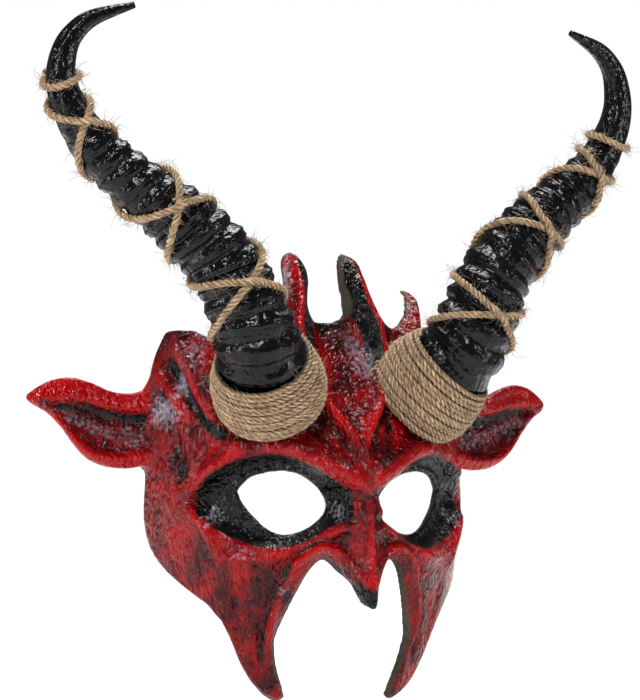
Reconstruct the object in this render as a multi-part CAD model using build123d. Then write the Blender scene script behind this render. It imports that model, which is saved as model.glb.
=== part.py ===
from build123d import *
import math
import os

# Horned folklore half-mask: a thin moulded face, two laced horns, foam pads and an elastic strap.
# Everything is laid out from the brow point, the middle of the brow's lower front edge: +X is the
# right-hand side seen from the front, +Y runs back into the head and +Z is up. SEAT moves it all to
# the part's own frame, whose origin is the centre of the forehead pad's flat rear face.

SEAT = (0, -26, -24)

# Face moulding
WALL = 4.0
FACE_HALF_WIDTH = 86.0
FACE_DEPTH = 88.0
PROFILE = ((-116, 28), (-104, 24.5), (-90, 21.5), (-76, 17), (-56, 11.5), (-36, 6.5), (-18, 2.5),
           (0, 1.5), (15, 8), (26, 13), (41, 20), (62, 28), (80, 37), (100, 49), (112, 57), (128, 67))
CROWN_START = 40.0
CROWN_TAPER = 0.0075
SECTION_COUNT = 21
SECTION_STEPS = 13
SECTION_ANGLE = 86.0
TOP_Z = 124.0
CUT = 150.0

# Hollows (positive) and swellings (negative) of each half: depth, centre (x, z), spread (x, z)
MOUNDS = {"eye socket": (13.0, (33, -9), (22, 16)),
          "brow": (-5.0, (26, 13), (24, 8)),
          "cheekbone": (-4.0, (62, -36), (12, 12))}

# The scoop that rises from the brow between the two ridges of the crest
SCOOP_START = 22.0
SCOOP_RISE = 58.0
SCOOP_DEPTH = 15.0
SCOOP_HALF_WIDTH = 11.0
RIDGE_HEIGHT = 4.0
RIDGE_SPREAD = 6.0
RIDGE_REACH = (6.0, 18.0)

# Half outlines: crest and cheek seen from the front (x, z), temple edge seen from the side (y, z)
CREST = ((0, 79), (4, 80), (7.5, 90), (9, 103), (15, 113), (21, 104), (22, 90), (27, 77),
         (33, 80), (39, 92), (44, 95), (46, 84), (47, 72))
CHEEK_INNER = ((29.5, -103), (32.5, -95), (35, -86), (37, -76), (34.5, -65), (30.5, -54),
               (26.5, -44), (20, -35))
NOSTRIL = ((20, -35), (13.5, -39.5), (7, -47), (3, -55), (0, -57))
CHEEK_OUTER = ((88, -32), (74, -50), (60, -68), (49, -86), (41, -98), (33, -105), (29.5, -103))
TEMPLE = ((78, 76), (79, 40), (79, 8), (78, -18), (72, -32), (62, -45), (52, -60), (43, -80))
EYE = ((55, -1), (49, 4), (39, 6.5), (28, 3), (18, -5), (14.5, -10.5), (20, -18.5), (33, -24),
       (42, -21), (51, -10))

# The outlines are cut wide of the face at these limits
SIDE_LIMIT = 88.0
LOW_LIMIT = -120.0
FRONT_LIMIT = -60.0
HIGH_LIMIT = 130.0

# Nose: how far it stands out at each height, and its half width
NOSE_STAND = ((-62, 22), (-55, 20), (-42, 14), (-24, 8), (-8, 2), (4, 0))
NOSE_HALF_WIDTH = 8.5

# Ear outline seen from the front (x, z)
EAR = ((0, 42), (12, 40), (24, 42), (38, 47), (50, 47), (60, 43), (64, 37), (57, 33),
       (49, 26), (41, 14), (30, 7), (16, 5), (0, 10))
EAR_ROOT = (82.5, 69.0)
EAR_SWEEP = 12.0
EAR_THICKNESS = 8.0
EAR_CUP = ((12, 34), (38, 40), (54, 39), (44, 28), (32, 15), (14, 12))
EAR_CUP_DEPTH = 4.5
EAR_CUP_TAPER = 15.0

# Horns: centreline and radius of the +X horn
HORN = ((34, 38, 33, 14.0), (41, 27, 45, 18.5), (48, 18, 56, 19.6), (55.5, 10.5, 68, 19.8),
        (62.5, 9, 84, 18.4), (74, 12, 106, 17.0), (94, 18, 126, 15.4), (117, 24, 144, 12.8),
        (136, 28, 161, 10.4), (147, 30, 178, 8.4), (151, 31, 191, 7.2), (150, 31, 203, 6.2),
        (146, 30, 212, 5.2), (137, 28, 220, 4.0), (118, 22, 227, 1.6))
HORN_SECTIONS = 18
FOOT = (41, 27, 45)
FOOT_AXIS = (14.5, -17, 21)

# Horn fixing, measured along the foot axis from the foot
PLUG_RADIUS = 9.0
PLUG_TOP = 30.0
BOSS_RADIUS = 8.0
BOSS_FACE = -9.0
WASHER_RADIUS = 7.0
WASHER_THICKNESS = 1.2
SCREW_RADIUS = 2.0
SCREW_HEAD_RADIUS = 4.5
SCREW_HEAD_HEIGHT = 2.8
SCREW_TIP = 20.0
SCREW_CLEARANCE = 0.3
SOCKET_RADIUS = 1.5
SOCKET_DEPTH = 1.6
FOOT_START = -30.0

# Twine binding at the horn foot: (radius, place along the foot axis)
BINDING = ((19, -12), (26, -8), (28.5, 0), (28, 9), (26, 17), (23, 24))

# Twine lacing: turns wound so far, and the place along the horn as a share of its length
TWINE_RADIUS = 2.0
LACE_CLEARANCE = 0.4
LACE_STEPS = 12
LACE_LIFT = 4.2
LACE_TURNS = 3
BEND_SHARE = 0.45
LACING = {"left": ((0, 0.185), (0.5, 0.299), (1.5, 0.474), (2.5, 0.707), (3, 0.765)),
          "right": ((0, 0.18), (0.5, 0.247), (1.5, 0.448), (2.5, 0.631), (3, 0.698))}
RING = {"left": 0.79, "right": 0.723}

# Elastic strap and the two rivets it swings on
STRAP_WIDTH = 15.0
STRAP_THICKNESS = 1.5
PIVOT_Y = 67.0
PIVOT_Z = 28.0
PIVOT_FACE = 70.5
PIVOT_GAP = 0.3
PIVOT_RADIUS = 2.0
PIVOT_BOSS_RADIUS = 7.5
PIVOT_DEPTH = 6.0
RIVET_HEAD_RADIUS = 4.5
RIVET_HEAD = 1.8
RIVET_ROUNDING = 1.0
RIVET_WASHER_RADIUS = 6.5
RIVET_WASHER_THICKNESS = 0.8
HOLE_CLEARANCE = 0.1
LAYER_GAP = 0.05
STRAP_SIDE_END = 136.0
STRAP_BACK = 172.0
STRAP_HALF_BACK = 34.0
STRAP_CORNER = 11.0
TAIL_BEND = (76.0, 86.0)
TAIL_END = 132.0
TAIL_OFFSET = 3.1
SLIDER_Y = 106.0
SLIDER_LENGTH = 14.0
SLIDER_WIDTH = 21.0
SLIDER_THICKNESS = 7.6
SLIDER_ROUNDING = 1.2
SLIDER_BAR = 4.0
SLIDER_CHEEK = 4.0

# Foam pads
PAD_GAP = 0.3
FOREHEAD_PAD = (64, 30)
FOREHEAD_PAD_BLOCK = 46.0
PAD_REAR = 26.0
PAD_ROUNDING = 9.0
TEMPLE_PAD = (26, 22)
TEMPLE_PAD_THICKNESS = 14.0
TEMPLE_PAD_ROUNDING = 7.0
TEMPLE_PAD_PLACE = (59.6, 56, 48)
TEMPLE_PAD_TURN = 50.0


def between(table, value):
    """Straight-line reading of a short table of (place, size) pairs."""
    for (place_a, size_a), (place_b, size_b) in zip(table, table[1:]):
        if value <= place_b:
            return size_a + (size_b - size_a) * (value - place_a) / (place_b - place_a)
    return table[-1][1]


def mound(x, z, centre, spread):
    """A smooth hump of height 1 at centre and at its mirror image across x = 0."""
    across = (abs(x) - centre[0]) / spread[0]
    up = (z - centre[1]) / spread[1]
    return math.exp(-across * across - up * up)


def relief(x, z):
    """How far the face is pushed back from its plain oval form."""
    moulded = sum(depth * mound(x, z, centre, spread) for depth, centre, spread in MOUNDS.values())
    rise = min(max((z - SCOOP_START) / SCOOP_RISE, 0), 1)
    scoop = SCOOP_DEPTH * rise * math.exp(-((x / SCOOP_HALF_WIDTH) ** 2))
    ridge_x = RIDGE_REACH[0] + (RIDGE_REACH[1] - RIDGE_REACH[0]) * rise
    ridge_height = RIDGE_HEIGHT * min(rise * 3, 1)
    ridges = ridge_height * math.exp(-(((abs(x) - ridge_x) / RIDGE_SPREAD) ** 2))
    nose = between(NOSE_STAND, z) * math.exp(-((x / NOSE_HALF_WIDTH) ** 2))
    return moulded + scoop - ridges - nose


def skin_curve(z, inset):
    """The face surface's level section at height z, moved inwards by inset."""
    half_width = FACE_HALF_WIDTH - CROWN_TAPER * max(0, z - CROWN_START) ** 2 - inset
    points = []
    for step in range(-SECTION_STEPS, SECTION_STEPS + 1):
        share = step / SECTION_STEPS
        angle = math.radians(SECTION_ANGLE * share * (0.5 + 0.5 * share * share))
        x = half_width * math.sin(angle)
        y = between(PROFILE, z) + FACE_DEPTH - (FACE_DEPTH - inset) * math.cos(angle)
        points.append((x, y + relief(x, z) * math.cos(angle), z))
    return points


def skin_levels():
    bottom = PROFILE[0][0]
    return [bottom + (TOP_Z - bottom) * i / (SECTION_COUNT - 1) for i in range(SECTION_COUNT)]


def curved_wall():
    """The face before its outline is cut: a C-shaped wall, lofted through its level sections."""
    sections = []
    for z in skin_levels():
        outer = skin_curve(z, 0)
        inner = skin_curve(z, WALL)[::-1]
        edges = [Spline(*outer), Line(outer[-1], inner[0]), Spline(*inner), Line(inner[-1], outer[0])]
        sections.append(make_face(Wire(edges)))
    return loft(sections)


def behind_skin(inset):
    """All that lies behind the face surface, moved inwards by inset."""
    sections = []
    for z in skin_levels():
        curve = skin_curve(z, inset)
        sections.append(make_face(Wire([Spline(*curve), Line(curve[-1], curve[0])])))
    return loft(sections)


def mirrored_pair(half):
    return half + mirror(half, about=Plane.YZ)


def front_prism(lines):
    """A closed outline drawn in x and z, swept through the whole depth of the mask."""
    return extrude(make_face(Plane.XZ * Wire(lines)), amount=CUT, both=True)


def front_outline():
    corner = (SIDE_LIMIT, CREST[0][1])
    half = [Spline(*CREST), Line(CREST[-1], corner), Line(corner, CHEEK_OUTER[0]),
            Spline(*CHEEK_OUTER), Spline(*CHEEK_INNER), Spline(*NOSTRIL),
            Line(NOSTRIL[-1], CREST[0])]
    return mirrored_pair(front_prism(half))


def side_outline():
    """The temple edge and the crest, seen from the side."""
    front = Polyline(TEMPLE[-1], (TEMPLE[-1][0], LOW_LIMIT), (FRONT_LIMIT, LOW_LIMIT),
                     (FRONT_LIMIT, HIGH_LIMIT), (TEMPLE[1][0], HIGH_LIMIT), TEMPLE[0])
    outline = make_face(Plane.YZ * Wire(front.edges() + [Spline(*TEMPLE)]))
    return extrude(outline, amount=CUT, both=True)


def ear():
    """One cupped ear of the face moulding, on the +X side, drawn from its root outwards."""
    outline = make_face(Plane.XZ * Wire([Spline(*EAR), Line(EAR[-1], EAR[0])]))
    cup = make_face(Plane.XZ * Polyline(*EAR_CUP, close=True))
    cup = extrude(cup, amount=EAR_CUP_DEPTH, dir=(0, 1, 0), taper=EAR_CUP_TAPER)
    body = extrude(outline, amount=EAR_THICKNESS, dir=(0, 1, 0)) - cup
    return Pos(*EAR_ROOT, 0) * Rot(0, 0, EAR_SWEEP) * body


def foot_cylinder(radius, start, end):
    """A cylinder on the horn's foot axis, between two places along it."""
    axis = Vector(*FOOT_AXIS).normalized()
    plane = Plane(origin=Vector(*FOOT) + axis * start, z_dir=axis)
    return extrude(plane * Circle(radius), amount=end - start)


def pivot_cylinder(radius, start, end):
    """A cylinder on the strap's swing axis, between two places along X."""
    plane = Plane(origin=(start, PIVOT_Y, PIVOT_Z), z_dir=(1, 0, 0))
    return extrude(plane * Circle(radius), amount=end - start)


def face_half():
    """The moulding's +X half, with the ear, the two bosses and all the holes."""
    half = curved_wall() & front_outline() & side_outline() & Pos(CUT, 0, 0) * Box(*[2 * CUT] * 3)
    half -= front_prism([Spline(*EYE, periodic=True)])
    inside = behind_skin(WALL / 2)
    half += foot_cylinder(BOSS_RADIUS, BOSS_FACE, 0) & inside
    half += pivot_cylinder(PIVOT_BOSS_RADIUS, PIVOT_FACE, FACE_HALF_WIDTH) & inside
    half += ear()
    half -= foot_cylinder(SCREW_RADIUS + SCREW_CLEARANCE, FOOT_START, SCREW_TIP)
    return half - pivot_cylinder(PIVOT_RADIUS, PIVOT_FACE, PIVOT_FACE + PIVOT_DEPTH)


def turned(piece, side):
    """The piece for the +X side, or its mirror image for the -X side."""
    return piece if side > 0 else mirror(piece, about=Plane.YZ)


def horn_line():
    return Spline(*[point[:3] for point in HORN])


def horn_radius(place):
    """The horn's radius at a share of its length."""
    travelled = [0]
    for a, b in zip(HORN, HORN[1:]):
        travelled.append(travelled[-1] + math.dist(a[:3], b[:3]))
    table = [(run / travelled[-1], point[3]) for run, point in zip(travelled, HORN)]
    return between(table, place)


def horn_plane(line, place):
    """A plane square to the horn, whose own x direction faces the front of the mask."""
    tangent = line % place
    front = Vector(0, -1, 0)
    front = (front - tangent * front.dot(tangent)).normalized()
    return Plane(origin=line @ place, x_dir=front, z_dir=tangent)


def horn_body():
    line = horn_line()
    places = [i / (HORN_SECTIONS - 1) for i in range(HORN_SECTIONS)]
    return loft([horn_plane(line, place) * Circle(horn_radius(place)) for place in places])


def horn(body, head):
    hollow = foot_cylinder(PLUG_RADIUS, FOOT_START, PLUG_TOP)
    return body - head - hollow


def horn_plug(head):
    """The turned plug in the horn's foot that takes the screw."""
    plug = foot_cylinder(PLUG_RADIUS, FOOT_START, PLUG_TOP) - head
    return plug - foot_cylinder(SCREW_RADIUS, FOOT_START, SCREW_TIP)


def horn_washer():
    ring = foot_cylinder(WASHER_RADIUS, BOSS_FACE - WASHER_THICKNESS, BOSS_FACE)
    return ring - foot_cylinder(SCREW_RADIUS + SCREW_CLEARANCE, FOOT_START, 0)


def horn_screw():
    seat = BOSS_FACE - WASHER_THICKNESS
    head = foot_cylinder(SCREW_HEAD_RADIUS, seat - SCREW_HEAD_HEIGHT, seat)
    top = seat - SCREW_HEAD_HEIGHT
    socket = foot_cylinder(SOCKET_RADIUS, top, top + SOCKET_DEPTH)
    return head + foot_cylinder(SCREW_RADIUS, seat, SCREW_TIP) - socket


def binding(body, head):
    """The outer shape of the twine wound round a horn's foot."""
    first, last = BINDING[0], BINDING[-1]
    lines = [Spline(*BINDING), Line(last, (0, last[1])), Line((0, last[1]), (0, first[1])),
             Line((0, first[1]), first)]
    half = make_face(Plane.XZ * Wire(lines))
    plane = Plane(origin=FOOT, z_dir=FOOT_AXIS)
    return plane.location * revolve(half, Axis.Z) - body - head


def tube(points, radius):
    """A round cord along straight runs joined by tangent arcs, as large as the runs allow."""
    points = [Vector(*point) for point in points]
    radii = []
    for a, b, c in zip(points, points[1:], points[2:]):
        half_turn = math.radians((b - a).get_angle(c - b)) / 2
        radii.append(BEND_SHARE * min((b - a).length, (c - b).length) / math.tan(half_turn))
    path = FilletPolyline(*points, radius=radii)
    section = Plane(origin=path @ 0, z_dir=path % 0) * Circle(radius)
    return sweep(section, path=path)


def lace(side, direction):
    """One lacing strand, wound up the horn; the second one climbs over the first at crossings."""
    line = horn_line()
    points = []
    for step in range(LACE_TURNS * LACE_STEPS):
        turns = (step + 0.5) / LACE_STEPS
        place = between(LACING[side], turns)
        plane = horn_plane(line, place)
        crossing = abs(turns * 2 - round(turns * 2)) < 2 / LACE_STEPS
        lift = LACE_LIFT if crossing and direction < 0 else 0
        reach = horn_radius(place) + TWINE_RADIUS + LACE_CLEARANCE
        reach = reach / math.cos(math.pi / LACE_STEPS) + lift
        angle = math.pi + direction * 2 * math.pi * turns
        points.append(plane.from_local_coords((reach * math.cos(angle), reach * math.sin(angle), 0)))
    return tube(points, TWINE_RADIUS)


def lace_ring(side):
    """The ring of twine that ties off the lacing."""
    place = RING[side]
    plane = horn_plane(horn_line(), place)
    reach = horn_radius(place) + TWINE_RADIUS + LACE_CLEARANCE
    return plane.location * Torus(reach, TWINE_RADIUS)


def strap_x(layer=0):
    """Where the middle of the strap's thickness lies, out from the mask's middle."""
    return PIVOT_FACE - PIVOT_GAP - STRAP_THICKNESS / 2 - layer


def pivot_end(layer):
    """The strap's rounded end about the rivet, with the hole that turns on it."""
    outer = strap_x(layer) + STRAP_THICKNESS / 2
    inner = outer - STRAP_THICKNESS
    hole = pivot_cylinder(PIVOT_RADIUS + HOLE_CLEARANCE, inner, outer)
    return pivot_cylinder(STRAP_WIDTH / 2, inner, outer), hole


def ribbon(path):
    """A flat band on edge along a level path."""
    start = Plane(origin=path @ 0, x_dir=(0, 0, 1), z_dir=path % 0)
    return sweep(start * Rectangle(STRAP_WIDTH, STRAP_THICKNESS), path=path)


def head_strap():
    x = strap_x()
    side = Line((x, PIVOT_Y, PIVOT_Z), (x, STRAP_SIDE_END, PIVOT_Z))
    bend = (x - STRAP_CORNER, STRAP_BACK - STRAP_CORNER, PIVOT_Z)
    corner = Spline((x, STRAP_SIDE_END, PIVOT_Z), bend, (STRAP_HALF_BACK, STRAP_BACK, PIVOT_Z),
                    tangents=((0, 1, 0), (-1, 0, 0)))
    middle = Line((STRAP_HALF_BACK, STRAP_BACK, PIVOT_Z), (0, STRAP_BACK, PIVOT_Z))
    half = ribbon(Wire([side, corner, middle]))
    end, hole = pivot_end(0)
    return mirrored_pair(half + end - hole)


def strap_tail():
    """The strap's free end, doubled back inside it and threaded through the slider."""
    layer = STRAP_THICKNESS + LAYER_GAP
    first, second = strap_x(layer), strap_x(TAIL_OFFSET)
    path = Polyline((first, PIVOT_Y, PIVOT_Z), (first, TAIL_BEND[0], PIVOT_Z),
                    (second, TAIL_BEND[1], PIVOT_Z), (second, TAIL_END, PIVOT_Z))
    band = ribbon(path)
    end, hole = pivot_end(layer)
    return band + end - hole


def strap_slider():
    """A three-bar slider: the strap runs behind its middle bar and the tail in front of it."""
    middle = strap_x(TAIL_OFFSET / 2)
    frame = Box(SLIDER_THICKNESS, SLIDER_LENGTH, SLIDER_WIDTH)
    frame = fillet(frame.edges().filter_by(Axis.Y), SLIDER_ROUNDING)
    opening = Box(STRAP_THICKNESS + 2 * PIVOT_GAP, 2 * SLIDER_LENGTH, STRAP_WIDTH + 2 * PIVOT_GAP)
    for place in (-TAIL_OFFSET / 2, TAIL_OFFSET / 2):
        frame -= Pos(place, 0, 0) * opening
    window = Box(SLIDER_THICKNESS, SLIDER_LENGTH - 2 * SLIDER_BAR, SLIDER_WIDTH - 2 * SLIDER_CHEEK)
    frame -= Pos(SLIDER_THICKNESS / 2, 0, 0) * window
    return Pos(middle, SLIDER_Y, PIVOT_Z) * frame


def strap_rivet(layers):
    """A rivet pressed into its boss; layers is how many bands it holds."""
    seat = rivet_seat(layers) - RIVET_WASHER_THICKNESS
    head = pivot_cylinder(RIVET_HEAD_RADIUS, seat - RIVET_HEAD, seat)
    head = fillet(head.edges().sort_by(Axis.X)[0], RIVET_ROUNDING)
    return head + pivot_cylinder(PIVOT_RADIUS, seat, PIVOT_FACE + PIVOT_DEPTH)


def rivet_seat(layers):
    return PIVOT_FACE - 2 * PIVOT_GAP - layers * STRAP_THICKNESS - (layers - 1) * LAYER_GAP


def rivet_washer(layers):
    seat = rivet_seat(layers)
    start = seat - RIVET_WASHER_THICKNESS
    return pivot_cylinder(RIVET_WASHER_RADIUS, start, seat) - pivot_cylinder(PIVOT_RADIUS, start, seat)


def forehead_pad(inside):
    width, height = FOREHEAD_PAD
    block = Box(width, FOREHEAD_PAD_BLOCK, height, align=(Align.CENTER, Align.MAX, Align.CENTER))
    block = fillet(block.edges().filter_by(Axis.Y), PAD_ROUNDING)
    return Pos(0, PAD_REAR, -SEAT[2]) * block & inside


def temple_pad(inside):
    """A foam cushion on the inside of the temple, above the eye."""
    width, height = TEMPLE_PAD
    block = Box(width, TEMPLE_PAD_THICKNESS, height)
    block = fillet(block.edges().filter_by(Axis.Y), TEMPLE_PAD_ROUNDING)
    return Pos(*TEMPLE_PAD_PLACE) * Rot(0, 0, TEMPLE_PAD_TURN) * block & inside


def pieces():
    """Every piece by its name, laid out from the brow point, with only half of the face shell."""
    head = behind_skin(0)
    inside = behind_skin(WALL + PAD_GAP)
    body = horn_body()
    made = {"face_shell": face_half(), "forehead_pad": forehead_pad(inside),
            "head_strap": head_strap(), "strap_tail": strap_tail(), "strap_slider": strap_slider()}
    right_side = {"horn": horn(body, head), "horn_plug": horn_plug(head), "horn_screw": horn_screw(),
                  "horn_washer": horn_washer(), "twine_binding": binding(body, head),
                  "temple_pad": temple_pad(inside)}
    for side, sign in (("left", -1), ("right", 1)):
        for name, piece in right_side.items():
            made[side + "_" + name] = turned(piece, sign)
        made[side + "_lace_under"] = turned(lace(side, 1), sign)
        made[side + "_lace_over"] = turned(lace(side, -1), sign)
        made[side + "_lace_ring"] = turned(lace_ring(side), sign)
        layers = 2 if side == "right" else 1
        made[side + "_strap_rivet"] = turned(strap_rivet(layers), sign)
        made[side + "_rivet_washer"] = turned(rivet_washer(layers), sign)
    return made


def seated(name, piece):
    """The piece in the part's own frame. The face is mirrored last, once its half is in place."""
    moved = Pos(*SEAT) * piece
    return mirrored_pair(moved) if name == "face_shell" else moved


os.makedirs("parts", exist_ok=True)
for name, piece in pieces().items():
    export_step(seated(name, piece), "parts/" + name + ".step")
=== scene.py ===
import math

import bpy
import numpy as np
import openvdb
from mathutils import Matrix, Vector


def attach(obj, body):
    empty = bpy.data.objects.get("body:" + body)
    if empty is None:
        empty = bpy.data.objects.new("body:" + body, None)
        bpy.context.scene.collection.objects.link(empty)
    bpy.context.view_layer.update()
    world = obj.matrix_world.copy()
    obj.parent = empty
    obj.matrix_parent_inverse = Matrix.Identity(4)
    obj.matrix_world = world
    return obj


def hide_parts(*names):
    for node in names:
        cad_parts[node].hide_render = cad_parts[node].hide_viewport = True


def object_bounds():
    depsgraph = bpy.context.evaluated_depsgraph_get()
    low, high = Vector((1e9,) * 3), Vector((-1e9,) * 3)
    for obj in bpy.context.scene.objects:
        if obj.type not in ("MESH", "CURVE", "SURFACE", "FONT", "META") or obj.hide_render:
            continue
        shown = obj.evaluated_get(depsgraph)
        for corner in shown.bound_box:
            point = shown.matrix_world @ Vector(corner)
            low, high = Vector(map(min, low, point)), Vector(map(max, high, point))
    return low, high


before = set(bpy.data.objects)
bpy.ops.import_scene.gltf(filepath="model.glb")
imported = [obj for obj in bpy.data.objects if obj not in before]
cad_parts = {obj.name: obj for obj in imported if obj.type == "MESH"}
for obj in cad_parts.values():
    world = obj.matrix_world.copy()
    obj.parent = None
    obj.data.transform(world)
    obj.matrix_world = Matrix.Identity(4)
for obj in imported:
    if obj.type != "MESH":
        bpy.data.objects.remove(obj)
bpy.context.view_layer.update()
bpy.context.scene.view_settings.view_transform = "Standard"

# The mask is laid out in millimetres from the brow point, as the CAD model is. SEAT moves it to the
# row frame, whose origin is the middle of the forehead pad's rear face.
MM = 0.001
SEAT = np.array([0.0, -26.0, -24.0])
random = np.random.default_rng(7)


def to_frame(points):
    return (np.asarray(points, float) + SEAT) * MM


# Camera and light -------------------------------------------------------------------------------

CAMERA_YAW = 25.2
CAMERA_ROLL = 1.22
CAMERA_DISTANCE = 1700.0
CAMERA_LENS = 181.5
CAMERA_ASIDE = -25.0
CAMERA_HEIGHT = 65.5


def add_camera():
    yaw = math.radians(CAMERA_YAW)
    back = np.array([-math.sin(yaw), -math.cos(yaw), 0.0])
    right = np.array([math.cos(yaw), -math.sin(yaw), 0.0])
    target = CAMERA_ASIDE * right + CAMERA_HEIGHT * np.array([0, 0, 1.0])
    data = bpy.data.cameras.new("camera")
    data.lens = CAMERA_LENS
    data.sensor_width = 36.0
    data.clip_end = 20.0
    camera = bpy.data.objects.new("camera", data)
    camera.location = to_frame(target + back * CAMERA_DISTANCE)
    level = Vector((-back).tolist()).to_track_quat("-Z", "Y")
    roll = Matrix.Rotation(math.radians(CAMERA_ROLL), 4, "Z")
    camera.rotation_euler = (level.to_matrix().to_4x4() @ roll).to_euler()
    bpy.context.scene.collection.objects.link(camera)
    bpy.context.scene.camera = camera


def add_area_light(name, place, target, size, power):
    data = bpy.data.lights.new(name, "AREA")
    data.shape = "RECTANGLE"
    data.size, data.size_y = size
    data.energy = power
    light = bpy.data.objects.new(name, data)
    light.location = place
    light.rotation_euler = (Vector(target) - Vector(place)).to_track_quat("-Z", "Y").to_euler()
    bpy.context.scene.collection.objects.link(light)


# The floor is a pale disc a little below the mask
FLOOR_RADIUS = 1.5
FLOOR_SIDES = 96
FLOOR_DROP = 0.012


def add_stage():
    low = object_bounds()[0][2] - FLOOR_DROP
    turns = np.linspace(0, 2 * math.pi, FLOOR_SIDES + 1)[:-1]
    rim = [(FLOOR_RADIUS * math.cos(a), FLOOR_RADIUS * math.sin(a), low) for a in turns]
    mesh = bpy.data.meshes.new("floor")
    mesh.from_pydata(rim, [], [tuple(range(FLOOR_SIDES))])
    floor = bpy.data.objects.new("floor", mesh)
    bpy.context.scene.collection.objects.link(floor)
    mesh.materials.append(plain_material("stage_white", (0.93, 0.93, 0.93), 0.9))


# How much the white world lights the mask; the camera sees it as plain white
WORLD_STRENGTH = 0.13
LIGHT_TARGET = (0, 0, 0.02)
# Banks of small lamps: name, middle, places across and up from it, size, power of each
LAMPS = (
    ("key", (-1.0, -1.3, 1.4), ((-0.22, -0.16), (0.22, -0.16), (-0.22, 0.16), (0.22, 0.16)),
     (0.11, 0.11), 5.6),
    ("fill", (1.3, -1.3, 0.5), ((0, -0.2), (0, 0.2)), (0.1, 0.2), 4.5),
    ("side", (-1.7, 0.1, 0.4), ((0, -0.25), (0, 0.25)), (0.1, 0.3), 5),
)


def add_lighting():
    world = bpy.data.worlds.new("studio")
    world.use_nodes = True
    nodes, links = world.node_tree.nodes, world.node_tree.links
    sky = nodes["Background"]
    sky.inputs["Color"].default_value = (1, 1, 1, 1)
    rays = nodes.new("ShaderNodeLightPath")
    strength = nodes.new("ShaderNodeMapRange")
    strength.inputs["To Min"].default_value = WORLD_STRENGTH
    strength.inputs["To Max"].default_value = 1.0
    links.new(rays.outputs["Is Camera Ray"], strength.inputs["Value"])
    links.new(strength.outputs["Result"], sky.inputs["Strength"])
    bpy.context.scene.world = world
    for name, (x, y, z), offsets, size, power in LAMPS:
        for aside, up in offsets:
            add_area_light(name, (x + aside, y, z + up), LIGHT_TARGET, size, power)
    add_area_light("backdrop", (0.6, 0.9, 2.2), (0.3, 1.9, -0.1), (2.0, 1.2), 90)


# Materials --------------------------------------------------------------------------------------

class Shader:
    """A small helper that wires one material's nodes. Values name sockets with _ for a space."""

    def __init__(self, name, **values):
        self.material = bpy.data.materials.new(name)
        self.material.use_nodes = True
        self.nodes = self.material.node_tree.nodes
        self.surface = self.nodes["Principled BSDF"]
        self.fill(self.surface, values)

    def put(self, socket, value):
        """Gives a socket a constant, or a link from another node's output."""
        if isinstance(value, bpy.types.NodeSocket):
            self.material.node_tree.links.new(value, socket)
        else:
            socket.default_value = value

    def fill(self, node, values):
        for name, value in values.items():
            self.put(node.inputs[name.replace("_", " ")], value)
        return node

    def add(self, kind, **values):
        return self.fill(self.nodes.new(kind), values)

    def attribute(self, name, output="Fac"):
        node = self.add("ShaderNodeAttribute")
        node.attribute_name = name
        return node.outputs[output]

    def noise(self, vector, scale, detail, roughness, distortion=0.0):
        return self.add("ShaderNodeTexNoise", Vector=vector, Scale=scale, Detail=detail,
                        Roughness=roughness, Distortion=distortion).outputs["Fac"]

    def place(self, stretch=(1, 1, 1), turn=(0, 0, 0)):
        """Object coordinates in metres, stretched and turned."""
        coordinates = self.add("ShaderNodeTexCoord").outputs["Object"]
        return self.add("ShaderNodeMapping", Vector=coordinates, Scale=stretch,
                        Rotation=turn).outputs["Vector"]

    def ramp(self, value, *stops):
        """A colour ramp of (place, colour) stops, where a single number is a grey."""
        node = self.add("ShaderNodeValToRGB", Fac=value)
        elements = node.color_ramp.elements
        while len(elements) < len(stops):
            elements.new(0.5)
        for element, (place, colour) in zip(elements, stops):
            element.position = place
            element.color = (*(colour if isinstance(colour, tuple) else (colour,) * 3), 1)
        return node.outputs["Color"]

    def math(self, operation, a, b=0.5):
        node = self.add("ShaderNodeMath")
        node.operation = operation
        self.put(node.inputs[0], a)
        self.put(node.inputs[1], b)
        return node.outputs[0]

    def times(self, a, b):
        return self.math("MULTIPLY", a, b)

    def spread(self, noise, size):
        """Noise about its middle, made that many times as strong."""
        return self.times(self.math("SUBTRACT", noise, 0.5), size)

    def mix(self, factor, a, b):
        node = self.nodes.new("ShaderNodeMix")
        node.data_type = "RGBA"
        node.clamp_factor = True
        for index, value in ((0, factor), (6, a), (7, b)):
            self.put(node.inputs[index], (*value, 1) if isinstance(value, tuple) else value)
        return node.outputs[2]

    def bump(self, height, distance, strength, under=None):
        node = self.add("ShaderNodeBump", Height=height, Distance=distance, Strength=strength)
        if under is not None:
            self.put(node.inputs["Normal"], under)
        return node.outputs["Normal"]

    def finish(self, colour, roughness=None, normal=None):
        for value, name in ((colour, "Base Color"), (roughness, "Roughness"), (normal, "Normal")):
            if value is not None:
                self.put(self.surface.inputs[name], value)
        return self.material


def plain_material(name, colour, roughness):
    return Shader(name, Base_Color=(*colour, 1), Roughness=roughness).material


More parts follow.
